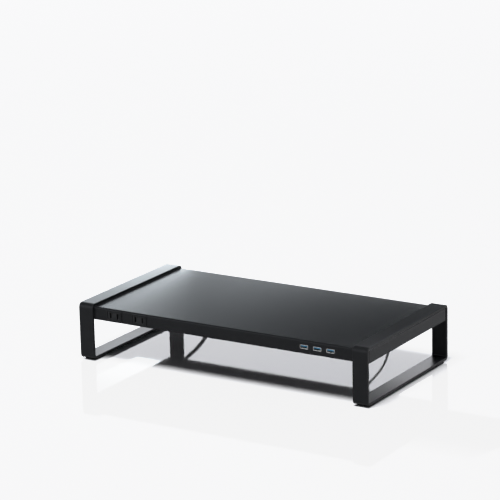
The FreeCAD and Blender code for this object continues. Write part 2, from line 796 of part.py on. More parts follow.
def usb_plug_nose():
    """Folded metal nose of the USB plug."""
    x, y, z = plug_nose_start()
    x_range = (x - NOSE_LENGTH, x)
    nose = rounded_box(x_range, span(y, NOSE_WIDTH), span(z, NOSE_HEIGHT), NOSE_WALL, X_AXIS)
    inner_width = NOSE_WIDTH - 2 * NOSE_WALL
    inner_height = NOSE_HEIGHT - 2 * NOSE_WALL
    return nose.cut(box((x - NOSE_LENGTH - 1, x), span(y, inner_width), span(z, inner_height)))


def usb_plug_tongue():
    """Insulator inside the USB plug's nose."""
    x, y, z = plug_nose_start()
    floor = z - NOSE_HEIGHT / 2 + NOSE_WALL + FIT / 4
    width = NOSE_WIDTH - 2 * NOSE_WALL - FIT
    return box((x - NOSE_LENGTH + 1, x), span(y, width), (floor, floor + TONGUE_THICK))


def build_frame():
    """Deck, legs, feet and their fasteners."""
    save("deck_pan", deck_pan())
    for name, rim in deck_rims().items():
        save("deck_rim_" + name, rim)
    for name, y in zip(("front", "rear"), HAT_Y):
        save("deck_stiffener_" + name, deck_stiffener(y))
    for name, side in (("left", -1), ("right", 1)):
        save("leg_frame_" + name, leg_frame(side))
        for end_name, end in (("front", -1), ("rear", 1)):
            save("foot_pad_" + end_name + "_" + name, foot_pad(side, end))
    save("frame_screws", frame_screws())
    save("module_studs", module_studs())
    save("module_nuts", module_nuts())


def build_outlets():
    """The outlet module and its parts."""
    save("outlet_case", module_case(OUTLET_LEFT, OUTLET_RIGHT, OUTLET_BACK, outlet_windows()))
    cover = back_cover(OUTLET_LEFT, OUTLET_RIGHT, OUTLET_BACK, MAINS_EXIT[0], GLAND_NECK)
    save("outlet_back_cover", cover)
    for name, x in zip(("left", "right"), OUTLET_X):
        save("outlet_insert_" + name, outlet_insert(x))
    save("contact_bar_neutral", contact_bar(-1))
    save("contact_bar_live", contact_bar(1))
    save("outlet_leads", outlet_leads())
    save("mains_gland", lead_gland(MAINS_EXIT, OUTLET_BACK, GLAND_BASE, GLAND_NECK, GLAND_TIP))


def build_hub():
    """The USB hub module and its parts."""
    save("hub_case", module_case(HUB_LEFT, HUB_RIGHT, HUB_BACK, hub_windows()))
    save("hub_back_cover", back_cover(HUB_LEFT, HUB_RIGHT, HUB_BACK, USB_EXIT[0], RELIEF_TIP))
    save("hub_board", hub_board())
    save("hub_chip", hub_chip())
    for number, x in enumerate(USB_X, 1):
        save("usb_shell_" + str(number), usb_shell(x))
        save("usb_tongue_" + str(number), usb_tongue(x))
    save("usb_pins", usb_pins())
    save("hub_leads", hub_leads())
    save("usb_relief", lead_gland(USB_EXIT, HUB_BACK, RELIEF_BASE, RELIEF_TIP, RELIEF_TIP))


def build_mains_cord():
    """The mains cord with its clip, coil, tie and plug."""
    save("mains_cord", cord_tube("mains_cord", MAINS_ROUTE, MAINS_D))
    save("mains_cord_clip", cord_clip(MAINS_ROUTE, 1, MAINS_D))
    coil = cord_coil(MAINS_ROUTE, 1, MAINS_COIL_X, MAINS_COIL_R, MAINS_WIDE, MAINS_LIFT, MAINS_STUB, MAINS_D)
    save("mains_coil", coil)
    save("mains_tie", coil_tie(MAINS_ROUTE, MAINS_COIL_X, MAINS_COIL_R, MAINS_WIDE, MAINS_LIFT, MAINS_D))
    save("mains_plug_body", mains_plug_body())
    save("mains_plug_blades", mains_plug_blades())
    path = route_wire(MAINS_ROUTE)[0].Length
    print("mains length", round(path + 2 * MAINS_STUB + MAINS_TURNS * 2 * math.pi * MAINS_COIL_R, 1))


def build_usb_cable():
    """The USB cable with its clip, coil, tie and plug."""
    save("usb_cable", cord_tube("usb_cable", USB_ROUTE, USB_D))
    save("usb_cable_clip", cord_clip(USB_ROUTE, 2, USB_D))
    coil = cord_coil(USB_ROUTE, -1, USB_COIL_X, USB_COIL_R, USB_WIDE, USB_LIFT, USB_STUB, USB_D)
    save("usb_coil", coil)
    save("usb_tie", coil_tie(USB_ROUTE, USB_COIL_X, USB_COIL_R, USB_WIDE, USB_LIFT, USB_D))
    save("usb_plug_hood", usb_plug_hood())
    save("usb_plug_nose", usb_plug_nose())
    save("usb_plug_tongue", usb_plug_tongue())
    path = route_wire(USB_ROUTE)[0].Length
    print("usb length", round(path + 2 * USB_STUB + USB_TURNS * 2 * math.pi * USB_COIL_R, 1))


os.makedirs("parts", exist_ok=True)
build_frame()
build_outlets()
build_hub()
build_mains_cord()
build_usb_cable()
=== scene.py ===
"""Looks of the monitor riser stand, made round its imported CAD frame.

Metres, +Z up, +X to the right and -Y to the front, as in the CAD model.
"""
import json
import math

import bmesh
import bpy
from mathutils import Matrix, Vector


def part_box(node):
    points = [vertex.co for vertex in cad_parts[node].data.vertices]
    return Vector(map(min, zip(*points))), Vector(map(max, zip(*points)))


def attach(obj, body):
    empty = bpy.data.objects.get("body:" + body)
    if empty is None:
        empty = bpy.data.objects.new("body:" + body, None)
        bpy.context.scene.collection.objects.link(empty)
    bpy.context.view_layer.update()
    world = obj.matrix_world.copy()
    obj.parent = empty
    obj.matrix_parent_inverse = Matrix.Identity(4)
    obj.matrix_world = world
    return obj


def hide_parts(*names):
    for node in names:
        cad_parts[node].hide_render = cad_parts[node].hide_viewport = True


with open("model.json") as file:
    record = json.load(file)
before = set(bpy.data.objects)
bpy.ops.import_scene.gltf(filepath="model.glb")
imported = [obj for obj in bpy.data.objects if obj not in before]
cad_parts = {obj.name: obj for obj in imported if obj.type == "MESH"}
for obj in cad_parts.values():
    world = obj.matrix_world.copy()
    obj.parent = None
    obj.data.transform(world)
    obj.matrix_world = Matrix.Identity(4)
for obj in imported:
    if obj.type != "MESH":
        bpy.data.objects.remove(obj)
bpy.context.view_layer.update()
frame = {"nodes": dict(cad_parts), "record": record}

nodes = frame["nodes"]

# Camera, at the photograph's viewing angle
CAMERA_AZIMUTH = math.radians(31.696)
CAMERA_ELEVATION = math.radians(15.438)
CAMERA_ROLL = math.radians(-1.255)
CAMERA_DISTANCE = 3.8874
CAMERA_AIM = Vector((-0.03750, 0.02926, 0.16150))
CAMERA_LENS = 184.31
CAMERA_SENSOR = 36.0
CAMERA_NEAR = 0.1
CAMERA_FAR = 100.0

# Mains cord, on the same route as its CAD tube
MAINS_D = 0.006
MAINS_ROUTE = [
    (-0.2060, -0.0500, 0.0760),
    (-0.2060, -0.0240, 0.0760),
    (-0.2080, 0.0180, 0.0738),
    (-0.2095, 0.0640, 0.0668),
    (-0.2110, 0.1100, 0.0596),
    (-0.2120, 0.1430, 0.0532),
    (-0.2125, 0.1680, 0.0436),
    (-0.2133, 0.1898, 0.0298),
    (-0.2106, 0.2049, 0.0172),
    (-0.2032, 0.2176, 0.0088),
    (-0.1921, 0.2269, 0.0049),
    (-0.1780, 0.2320, 0.0039),
    (-0.1640, 0.2320, 0.0039),
]
MAINS_COIL_X = -0.137
MAINS_COIL_R = 0.0356
MAINS_TURNS = 5
MAINS_WIDE = 3
MAINS_STUB = 0.027

# USB cable, on the same route as its CAD tube
USB_D = 0.0034
USB_ROUTE = [
    (0.1400, -0.0570, 0.0760),
    (0.1400, -0.0380, 0.0760),
    (0.1350, 0.0020, 0.0748),
    (0.1250, 0.0420, 0.0720),
    (0.1165, 0.0820, 0.0674),
    (0.1105, 0.1170, 0.0626),
    (0.1090, 0.1430, 0.0574),
    (0.1100, 0.1660, 0.0500),
    (0.1115, 0.1830, 0.0386),
    (0.1110, 0.1930, 0.0255),
    (0.1075, 0.2000, 0.0135),
    (0.1005, 0.2065, 0.0060),
    (0.0900, 0.2115, 0.0029),
    (0.0780, 0.2130, 0.0022),
    (0.0680, 0.2130, 0.0022),
]
USB_COIL_X = 0.052
USB_COIL_R = 0.01915
USB_TURNS = 7
USB_WIDE = 4
USB_STUB = 0.016

# Winding of both coils
TURN_POINTS = 16
STEP_SHARE = 0.2
RISE_FROM = 0.55
RISE_SHARE = 0.25
BACK_OUT_FROM = 0.3
CORD_END = 0.002

# Smoothness of a cord's mesh
CORD_ROUNDNESS = 5
CORD_STEPS = 6

# Floor and light
FLOOR_SIZE = 24.0
FLOOR_TINT = (0.78, 0.785, 0.80)
FLOOR_ROUGHNESS = (0.04, 0.05)
FLOOR_CLOUDS = 2.0
BACKDROP_GLOW = 5.3
AMBIENT_GLOW = 0.13
CEILING_Z = 4.4
CEILING_SIZE = 11.0
CEILING_TINT = (0.02, 0.02, 0.02)
CEILING_ROUGHNESS = 0.9
BACKDROP_TINT = (0.945, 0.955, 1.0)
FLOOR_IOR = 1.2
KEY_LIGHT_PLACE = Vector((0.05, -1.25, 3.85))
KEY_LIGHT_SIZE = 1.6
KEY_LIGHT_POWER = 250.0
COMBINED_CURVE = 3
HIGHLIGHT_LIMIT = 2.6
HIGHLIGHT_CURVE = (
    (0.231, 0.6), (0.308, 0.76), (0.346, 0.85), (0.385, 0.885), (0.577, 0.92), (0.75, 0.96), (1.0, 1.0),
)

# Graded card behind the object, a painted reflection: its glow by the deck's X, and its share by
# height, paints the deck's reflections light at the left and dark at the right
CARD_Y = 0.165
CARD_TOP = 0.42
CARD_LEFT = -0.33
CARD_RIGHT = 0.42
CARD_DROP = 0.007
# Painted reflection: the card glows brightest behind the deck's left end and dimmest behind its right,
# and the deck reflects it
CARD_GLOWS = (
    (-0.33, 13.0), (-0.224, 13.0), (-0.2, 3.6), (-0.16, 2.3), (-0.1, 2.3), (0.0, 1.5), (0.06, 0.95),
    (0.2, 0.36), (0.42, 0.27),
)
CARD_TINT = (0.87, 0.945, 1.0)
CARD_NEAR = 0.42
CARD_FAR = 0.50
CARD_SHARES = ((0.0, 1.0), (0.12, 0.75), (0.25, 0.5), (0.5, 0.5), (1.0, 1.0))

# Finishes
COAT_COLOURS = ((0.0075, 0.008, 0.0088), (0.0085, 0.009, 0.0098))
COAT_ROUGHNESS_CHANGE = 0.008
PLASTIC_ROUGHNESS_CHANGE = 0.06
METAL_ROUGHNESS_CHANGE = 0.08
COAT_IOR = 1.13
PLASTIC_IOR = 1.16
PEEL_DEPTH = 0.0000025
SPECK_DEPTH = 0.0000015
NOISE_LOW = 0.35
NOISE_HIGH = 0.65
COAT_PATCH_SCALE = 18
COAT_CLOUD_SCALE = 45
PEEL_SCALE = 900
SPECK_SCALE = 3600
PLASTIC_MOTTLE_SCALE = 60
METAL_STAIN_SCALE = 300
METAL_LINE_SCALE = 2500

# Powder coats' roughness
COATS = {"frame_coat": 0.32, "deck_coat": 0.26}

# Metals: bright and dull colour, roughness, stretch of the drawn lines, their depth
METALS = {
    "zinc_steel": ((0.62, 0.63, 0.65), (0.5, 0.5, 0.52), 0.32, (1, 1, 0.1), 0.00001),
    "shell_steel": ((0.42, 0.42, 0.41), (0.34, 0.34, 0.33), 0.24, (1, 0.08, 1), 0.000006),
    "brass": ((0.78, 0.57, 0.24), (0.6, 0.42, 0.17), 0.3, (0.1, 1, 1), 0.000008),
}

# Plastics and rubber: dark and light colour, roughness, scale and depth of the texture
PLASTICS = {
    "module_plastic": ((0.0085, 0.009, 0.0095), (0.0115, 0.012, 0.0125), 0.5, 1900, 0.00003),
    "blue_plastic": ((0.04, 0.16, 0.28), (0.055, 0.19, 0.32), 0.36, 1500, 0.00001),
    "chip": ((0.012, 0.012, 0.012), (0.02, 0.02, 0.02), 0.5, 2600, 0.00002),
    "pad_rubber": ((0.007, 0.007, 0.007), (0.014, 0.014, 0.014), 0.75, 1000, 0.00006),
    "cord_pvc": ((0.008, 0.008, 0.009), (0.014, 0.014, 0.015), 0.42, 1400, 0.00002),
    "core_white": ((0.75, 0.75, 0.72), (0.82, 0.82, 0.8), 0.35, 1500, 0.00001),
}

# Circuit board
BOARD_COLOUR = (0.01, 0.09, 0.03)
BOARD_ROUGHNESS = 0.35
TRACK_SCALE = 260
TRACK_WIDTH = 0.06
TRACK_HEIGHT = 0.00003
MASK_COLOURS = ((0.008, 0.085, 0.03), (0.01, 0.1, 0.035))
TRACK_COLOUR = (0.02, 0.17, 0.07)

# Woven strap of the ties
STRAP_COLOUR = (0.012, 0.012, 0.013)
STRAP_ROUGHNESS = 0.85
STRAP_SHEEN = 0.25
STRAP_SHEEN_ROUGHNESS = 0.5
THREAD_SCALE = 380
THREAD_WANDER = 1.5
THREAD_COLOURS = ((0.007, 0.007, 0.008), (0.02, 0.02, 0.021))
THREAD_DEPTH = 0.00012
NAP_SCALE = 2500
NAP_DEPTH = 0.00008

# Corners in a ring of a round or moulded piece
RING_POINTS = 48

# Strain reliefs: radii at the flange, the tip and the neck
MAINS_RELIEF_BASE = 0.0055
MAINS_RELIEF_TIP = 0.0038
MAINS_RELIEF_NECK = 0.0043
MAINS_RELIEF_RIBS = 7
USB_RELIEF_BASE = 0.0035
USB_RELIEF_TIP = 0.0023
USB_RELIEF_NECK = 0.0023
USB_RELIEF_RIBS = 6
COVER_THICK = 0.002
RELIEF_COLLAR = 0.0016
RIM_EASE = 0.0003
RIB_DEPTH = 0.0008
RIB_SHAPE = ((0.0, 0.4), (0.08, 0.0), (0.55, 0.0), (0.63, 0.4), (0.68, 1.0), (0.95, 1.0))

# Plugs: sections by shares of the CAD body's length, half width and half height, and a power
PLUG_BOOT = 0.016
BOOT_R_START = 0.0038
BOOT_R_END = 0.0055
BOOT_RIBS = 5
PLUG_SHAPE = (
    (0.0, 0.46, 0.62, 2.4), (0.04, 0.72, 0.78, 3.0), (0.12, 0.88, 0.88, 3.6), (0.22, 0.91, 0.93, 4.0),
    (0.26, 0.87, 0.93, 4.0), (0.30, 0.91, 0.94, 4.0), (0.34, 0.87, 0.94, 4.0), (0.38, 0.91, 0.95, 4.0),
    (0.42, 0.87, 0.95, 4.0), (0.46, 0.92, 0.96, 4.2), (0.50, 0.88, 0.96, 4.2), (0.56, 0.95, 0.98, 4.5),
    (0.70, 1.0, 1.0, 5.0), (0.95, 1.0, 1.0, 5.5), (0.985, 0.98, 0.975, 5.5), (1.0, 0.95, 0.93, 5.5),
)
HOOD_BOOT = 0.009
HOOD_R_START = 0.0022
HOOD_R_END = 0.0035
HOOD_RIBS = 4
HOOD_SHAPE = (
    (0.0, 0.40, 0.55, 2.4), (0.04, 0.70, 0.74, 3.2), (0.12, 0.88, 0.84, 4.0), (0.25, 0.95, 0.86, 4.5),
    (0.50, 0.96, 0.84, 5.0), (0.72, 0.98, 0.90, 5.0), (0.84, 1.0, 1.0, 5.5), (0.97, 1.0, 1.0, 5.5),
    (1.0, 0.96, 0.93, 5.5),
)

# Ties
STRAP_THICK = 0.0007
STRAP_EASE = 0.0002
STRAP_BEND = 0.0012
CORNER_STEPS = 6
TAB_SHAPE = ((0.0, 1.0, 0.1), (0.08, 1.0, 1.0), (0.72, 1.0, 1.0), (0.86, 0.8, 1.0), (0.92, 0.45, 0.9))

# Contact leaves in the USB ports
SHELL_WALL = 0.0004
SPRING_APART = 0.0062
SPRING_WIDTH = 0.0018
SPRING_THICK = 0.00025
SPRING_SHAPE = ((0.0006, 0.0), (0.002, 0.0005), (0.0035, 0.0008), (0.005, 0.0005), (0.0065, 0.0))


# Meshes

def new_object(name, data):
    """An object in the scene."""
    thing = bpy.data.objects.new(name, data)
    bpy.context.scene.collection.objects.link(thing)
    return thing


def new_mesh(name, corners, faces):
    """A mesh object from its corners and faces."""
    data = bpy.data.meshes.new(name)
    data.from_pydata(corners, [], faces)
    data.validate()
    return new_object(name, data)


def add_piece(piece, slot_name, *replaced):
    """The piece rides on the stand, takes a slot's finish and stands for its CAD nodes."""
    piece.data.materials.append(finishes[slot_name])
    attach(piece, "root")
    if replaced:
        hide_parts(*replaced)
    return piece


def shade_round(piece, angle=math.radians(35)):
    """Smooth shading, with edges sharper than the angle kept."""
    bpy.ops.object.select_all(action="DESELECT")
    piece.select_set(True)
    bpy.context.view_layer.objects.active = piece
    bpy.ops.object.shade_smooth_by_angle(angle=angle)


def face_outwards(piece):
    """Every face of a closed mesh turned to its outside."""
    mesh = bmesh.new()
    mesh.from_mesh(piece.data)
    bmesh.ops.recalc_face_normals(mesh, faces=mesh.faces)
    mesh.to_mesh(piece.data)
    mesh.free()


def skin(name, rings):
    """A closed mesh over rings of corners, with its two end rings filled."""
    corners = [corner for ring in rings for corner in ring]
    count = len(rings[0])
    faces = [tuple(reversed(range(count)))]
    for number in range(len(rings) - 1):
        base = number * count
        for step in range(count):
            after = (step + 1) % count
            faces.append((base + step, base + after, base + count + after, base + count + step))
    last = (len(rings) - 1) * count
    faces.append(tuple(range(last, last + count)))
    piece = new_mesh(name, corners, faces)
    face_outwards(piece)
    return piece


def rounded_ring(half_width, half_height, power):
    """A ring between an ellipse, at power 2, and a box, as the power grows."""
    ring = []
    for step in range(RING_POINTS):
        angle = math.tau * step / RING_POINTS
        across, up = math.cos(angle), math.sin(angle)
        ring.append((
            half_width * math.copysign(abs(across) ** (2 / power), across),
            half_height * math.copysign(abs(up) ** (2 / power), up),
        ))
    return ring


# Finishes

def new_finish(name, colour, roughness, metallic=0.0, ior=1.5):
    """A material with its constant values on the shader's own sockets."""
    material = bpy.data.materials.new(name)
    material.use_nodes = True
    tree = material.node_tree
    shader = tree.nodes["Principled BSDF"]
    shader.inputs["Base Color"].default_value = (*colour, 1)
    shader.inputs["Roughness"].default_value = roughness
    shader.inputs["Metallic"].default_value = metallic
    shader.inputs["IOR"].default_value = ior
    return material, tree, shader


def grain(tree, scale, detail=2.0, stretch=(1, 1, 1)):
    """Noise fixed to the object, with its scale per metre."""
    where = tree.nodes.new("ShaderNodeTexCoord")
    mapping = tree.nodes.new("ShaderNodeMapping")
    mapping.inputs["Scale"].default_value = stretch
    noise = tree.nodes.new("ShaderNodeTexNoise")
    noise.inputs["Scale"].default_value = scale
    noise.inputs["Detail"].default_value = detail
    tree.links.new(where.outputs["Object"], mapping.inputs["Vector"])
    tree.links.new(mapping.outputs["Vector"], noise.inputs["Vector"])
    return noise.outputs["Fac"]


def ranged(tree, factor, low, high):
    """A noise factor's middle range as a range of numbers."""
    node = tree.nodes.new("ShaderNodeMapRange")
    node.inputs["From Min"].default_value = NOISE_LOW
    node.inputs["From Max"].default_value = NOISE_HIGH
    node.inputs["To Min"].default_value = low
    node.inputs["To Max"].default_value = high
    tree.links.new(factor, node.inputs["Value"])
    return node.outputs["Result"]


def tinted(tree, factor, low, high):
    """A noise factor's middle range as a range of colours."""
    ramp = tree.nodes.new("ShaderNodeValToRGB")
    ramp.color_ramp.elements[0].position = NOISE_LOW
    ramp.color_ramp.elements[0].color = (*low, 1)
    ramp.color_ramp.elements[1].position = NOISE_HIGH
    ramp.color_ramp.elements[1].color = (*high, 1)
    tree.links.new(factor, ramp.inputs["Fac"])
    return ramp.outputs["Color"]


def bumped(tree, shader, height, depth, below=None):
    """A bump of a depth in metres, over another one if given."""
    bump = tree.nodes.new("ShaderNodeBump")
    bump.inputs["Distance"].default_value = depth
    tree.links.new(height, bump.inputs["Height"])
    if below:
        tree.links.new(below, bump.inputs["Normal"])
    tree.links.new(bump.outputs["Normal"], shader.inputs["Normal"])
    return bump.outputs["Normal"]


def powder_coat(name, colour, light_colour, roughness):
    """Satin powder coat: a fine orange peel, with tiny specks of texture on it."""
    material, tree, shader = new_finish(name, colour, roughness, ior=COAT_IOR)
    patches = grain(tree, COAT_PATCH_SCALE, detail=3)
    tree.links.new(tinted(tree, patches, colour, light_colour), shader.inputs["Base Color"])
    clouds = grain(tree, COAT_CLOUD_SCALE, detail=4)
    change = COAT_ROUGHNESS_CHANGE
    tree.links.new(
        ranged(tree, clouds, roughness - change, roughness + change), shader.inputs["Roughness"]
    )
    peel = bumped(tree, shader, grain(tree, PEEL_SCALE), PEEL_DEPTH)
    bumped(tree, shader, grain(tree, SPECK_SCALE, detail=1), SPECK_DEPTH, peel)
    return material


def moulded(name, colour, light_colour, roughness, texture_scale, depth):
    """Moulded plastic or rubber with a spark-eroded texture."""
    material, tree, shader = new_finish(name, colour, roughness, ior=PLASTIC_IOR)
    mottle = grain(tree, PLASTIC_MOTTLE_SCALE, detail=3)
    tree.links.new(tinted(tree, mottle, colour, light_colour), shader.inputs["Base Color"])
    texture = grain(tree, texture_scale, detail=3)
    change = PLASTIC_ROUGHNESS_CHANGE
    tree.links.new(
        ranged(tree, texture, roughness - change, roughness + change), shader.inputs["Roughness"]
    )
    bumped(tree, shader, texture, depth)
    return material


def plated(name, colour, dull_colour, roughness, stretch, scratch_depth):
    """Plated or plain sheet metal with drawn lines and faint stains."""
    material, tree, shader = new_finish(name, colour, roughness, metallic=1.0)
    stains = grain(tree, METAL_STAIN_SCALE, detail=4)
    tree.links.new(tinted(tree, stains, dull_colour, colour), shader.inputs["Base Color"])
    lines = grain(tree, METAL_LINE_SCALE, stretch=stretch)
    change = METAL_ROUGHNESS_CHANGE
    tree.links.new(
        ranged(tree, lines, roughness - change, roughness + change), shader.inputs["Roughness"]
    )
    bumped(tree, shader, lines, scratch_depth)
    return material


def board_finish():
    """Green solder mask over copper tracks."""
    material, tree, shader = new_finish("board", BOARD_COLOUR, BOARD_ROUGHNESS)
    where = tree.nodes.new("ShaderNodeTexCoord")
    tracks = tree.nodes.new("ShaderNodeTexBrick")
    tracks.inputs["Scale"].default_value = TRACK_SCALE
    tracks.inputs["Mortar Size"].default_value = TRACK_WIDTH
    tracks.inputs["Color1"].default_value = (*MASK_COLOURS[0], 1)
    tracks.inputs["Color2"].default_value = (*MASK_COLOURS[1], 1)
    tracks.inputs["Mortar"].default_value = (*TRACK_COLOUR, 1)
    tree.links.new(where.outputs["Object"], tracks.inputs["Vector"])
    tree.links.new(tracks.outputs["Color"], shader.inputs["Base Color"])
    bumped(tree, shader, tracks.outputs["Fac"], TRACK_HEIGHT)
    return material


def strap_finish():
    """Woven strap with a napped face."""
    material, tree, shader = new_finish("tie_strap", STRAP_COLOUR, STRAP_ROUGHNESS)
    shader.inputs["Sheen Weight"].default_value = STRAP_SHEEN
    shader.inputs["Sheen Roughness"].default_value = STRAP_SHEEN_ROUGHNESS
    where = tree.nodes.new("ShaderNodeTexCoord")
    threads = tree.nodes.new("ShaderNodeTexWave")
    threads.bands_direction = "X"
    threads.inputs["Scale"].default_value = THREAD_SCALE
    threads.inputs["Distortion"].default_value = THREAD_WANDER
    tree.links.new(where.outputs["Object"], threads.inputs["Vector"])
    tree.links.new(
        tinted(tree, threads.outputs["Fac"], *THREAD_COLOURS), shader.inputs["Base Color"]
    )
    weave = bumped(tree, shader, threads.outputs["Fac"], THREAD_DEPTH)
    bumped(tree, shader, grain(tree, NAP_SCALE, detail=3), NAP_DEPTH, weave)
    return material


def make_finishes():
    """Every slot's material, by the slot's name."""
    made = {name: powder_coat(name, *COAT_COLOURS, roughness) for name, roughness in COATS.items()}
    made.update({name: plated(name, *values) for name, values in METALS.items()})
    made.update({name: moulded(name, *values) for name, values in PLASTICS.items()})
    made["board"] = board_finish()
    made["tie_strap"] = strap_finish()
    return made


def floor_finish():
    """Glossy pale laminate, with a faint cloudiness."""
    low, high = FLOOR_ROUGHNESS
    material, tree, shader = new_finish("floor", FLOOR_TINT, low, ior=FLOOR_IOR)
    tree.links.new(ranged(tree, grain(tree, FLOOR_CLOUDS), low, high), shader.inputs["Roughness"])
    return material


def value_ramp(tree, factor, stops, top):
    """A ramp over stops of place and value, with its values as shares of the top one."""
    ramp = tree.nodes.new("ShaderNodeValToRGB")
    elements = ramp.color_ramp.elements
    while len(elements) < len(stops):
        elements.new(0.5)
    for element, (place, value) in zip(elements, stops):
        element.position = place
        element.color = (value / top, value / top, value / top, 1)
    tree.links.new(factor, ramp.inputs["Fac"])
    return ramp.outputs["Color"]


def card_finish():
    """The card's own glow, a painted reflection graded across and upwards, and clear from behind and in
    far reflections.
    """
    material = bpy.data.materials.new("card")
    material.use_nodes = True
    tree = material.node_tree
    tree.nodes.remove(tree.nodes["Principled BSDF"])
    where = tree.nodes.new("ShaderNodeUVMap")
    split = tree.nodes.new("ShaderNodeSeparateXYZ")
    tree.links.new(where.outputs["UV"], split.inputs["Vector"])
    top = max(glow for _, glow in CARD_GLOWS)
    width = CARD_RIGHT - CARD_LEFT
    stops = [((x - CARD_LEFT) / width, glow) for x, glow in CARD_GLOWS]
    across = value_ramp(tree, split.outputs["X"], stops, top)
    upwards = value_ramp(tree, split.outputs["Y"], CARD_SHARES, 1)
    both = tree.nodes.new("ShaderNodeMath")
    both.operation = "MULTIPLY"
    tree.links.new(across, both.inputs[0])
    tree.links.new(upwards, both.inputs[1])
    strength = tree.nodes.new("ShaderNodeMath")
    strength.operation = "MULTIPLY"
    strength.inputs[1].default_value = top
    tree.links.new(both.outputs["Value"], strength.inputs[0])
    # Painted reflection: the card's emission, graded across X and upwards, is what the deck and bars
    # reflect
    glow = tree.nodes.new("ShaderNodeEmission")
    glow.inputs["Color"].default_value = (*CARD_TINT, 1)
    tree.links.new(strength.outputs["Value"], glow.inputs["Strength"])
    path = tree.nodes.new("ShaderNodeLightPath")
    fade = tree.nodes.new("ShaderNodeMapRange")
    fade.inputs["From Min"].default_value = CARD_NEAR
    fade.inputs["From Max"].default_value = CARD_FAR
    tree.links.new(path.outputs["Ray Length"], fade.inputs["Value"])
    side = tree.nodes.new("ShaderNodeNewGeometry")
    hidden = tree.nodes.new("ShaderNodeMath")
    hidden.operation = "MAXIMUM"
    tree.links.new(fade.outputs["Result"], hidden.inputs[0])
    tree.links.new(side.outputs["Backfacing"], hidden.inputs[1])
    faded = tree.nodes.new("ShaderNodeMixShader")
    clear = tree.nodes.new("ShaderNodeBsdfTransparent")
    tree.links.new(hidden.outputs["Value"], faded.inputs["Fac"])
    tree.links.new(glow.outputs["Emission"], faded.inputs[1])
    tree.links.new(clear.outputs["BSDF"], faded.inputs[2])
    tree.links.new(faded.outputs["Shader"], tree.nodes["Material Output"].inputs["Surface"])
    return material


# Camera

def make_camera():
    """The photograph's camera."""
    side = Vector((math.cos(CAMERA_AZIMUTH), math.sin(CAMERA_AZIMUTH), 0))
    level = Vector((math.sin(CAMERA_AZIMUTH), -math.cos(CAMERA_AZIMUTH), 0))
    back = level * math.cos(CAMERA_ELEVATION) + Vector((0, 0, math.sin(CAMERA_ELEVATION)))
    upright = back.cross(side)
    right = side * math.cos(CAMERA_ROLL) + upright * math.sin(CAMERA_ROLL)
    up = upright * math.cos(CAMERA_ROLL) - side * math.sin(CAMERA_ROLL)
    data = bpy.data.cameras.new("camera")
    data.lens = CAMERA_LENS
    data.sensor_width = CAMERA_SENSOR
    data.clip_start = CAMERA_NEAR
    data.clip_end = CAMERA_FAR
    camera = bpy.data.objects.new("camera", data)
    facing = Matrix((right, up, back)).transposed().to_4x4()
    camera.matrix_world = Matrix.Translation(CAMERA_AIM + back * CAMERA_DISTANCE) @ facing
    bpy.context.scene.collection.objects.link(camera)
    bpy.context.scene.camera = camera


# Cords

def wound_slot(turns, wide):
    """Place of a coil's line after some turns: how many diameters in, and how many up."""
    if turns < wide:
        whole = math.floor(turns)
        moved = max(0, (turns - whole - 1 + STEP_SHARE) / STEP_SHARE)
        risen = (turns - (wide - 1) - RISE_FROM) / RISE_SHARE
        return min(whole + moved, wide - 1), min(max(risen, 0), 1)
    back = turns - wide - BACK_OUT_FROM
    if back < 0:
        return wide - 1, 1
    whole = math.floor(back)
    moved = min(1, (back - whole) / STEP_SHARE)
    return max(wide - 1 - whole - moved, 0), 1


def coil_points(route, heading, centre_x, coil_radius, wide, turns, stub, diameter):
    """Control points of a coil's turns and of the cord's end, which leaves along X."""
    outer = coil_radius + (wide - 1) * diameter / 2
    line_y, low = route[-1][1:]
    centre_y = line_y - outer
    spread = 1 / math.cos(math.pi / TURN_POINTS)
    points = []
    for step in range(turns * TURN_POINTS + 2):
        done = (step - 0.5) / TURN_POINTS
        inward, up = wound_slot(min(max(done, 0), turns), wide)
        reach = (outer - inward * diameter) * spread
        angle = done * math.tau
        x = centre_x + heading * reach * math.sin(angle)
        points.append((x, centre_y + reach * math.cos(angle), low + up * diameter))
    end_x = centre_x + heading * (stub + CORD_END)
    return points + [(end_x, line_y, low + diameter)]


def make_cord(name, points, diameter):
    """A round cord on one NURBS spline."""
    data = bpy.data.curves.new(name, "CURVE")
    data.dimensions = "3D"
    data.bevel_depth = diameter / 2
    data.bevel_resolution = CORD_ROUNDNESS
    data.resolution_u = CORD_STEPS
    data.use_fill_caps = True
    spline = data.splines.new("NURBS")
    spline.points.add(len(points) - 1)
    for point, place in zip(spline.points, points):
        point.co = (*place, 1)
    spline.order_u = 3
    spline.use_endpoint_u = True
    return new_object(name, data)


def make_mains_cord():
    """The mains cord from its gland to its plug."""
    turns = coil_points(
        MAINS_ROUTE, 1, MAINS_COIL_X, MAINS_COIL_R, MAINS_WIDE, MAINS_TURNS, MAINS_STUB, MAINS_D
    )
    lead = make_cord("mains_lead", MAINS_ROUTE + turns, MAINS_D)
    return add_piece(lead, "cord_pvc", "mains_cord", "mains_coil")


def make_usb_cable():
    """The USB cable from its relief to its plug."""
    turns = coil_points(
        USB_ROUTE, -1, USB_COIL_X, USB_COIL_R, USB_WIDE, USB_TURNS, USB_STUB, USB_D
    )
    lead = make_cord("usb_lead", USB_ROUTE + turns, USB_D)
    return add_piece(lead, "cord_pvc", "usb_cable", "usb_coil")


# Floor, light and backdrop

def square(name, size, z):
    """A level square about the origin."""
    half = size / 2
    corners = [(-half, -half, z), (half, -half, z), (half, half, z), (-half, half, z)]
    return new_mesh(name, corners, [(0, 1, 2, 3)])


def only_reflected(thing):
    """The thing is seen in reflections and nowhere else."""
    thing.visible_camera = False
    thing.visible_diffuse = False
    thing.visible_shadow = False
    thing.visible_transmission = False


def make_floor():
    """A glossy pale floor, which isn't part of the object."""
    floor = square("floor", FLOOR_SIZE, 0)
    floor.data.materials.append(floor_finish())


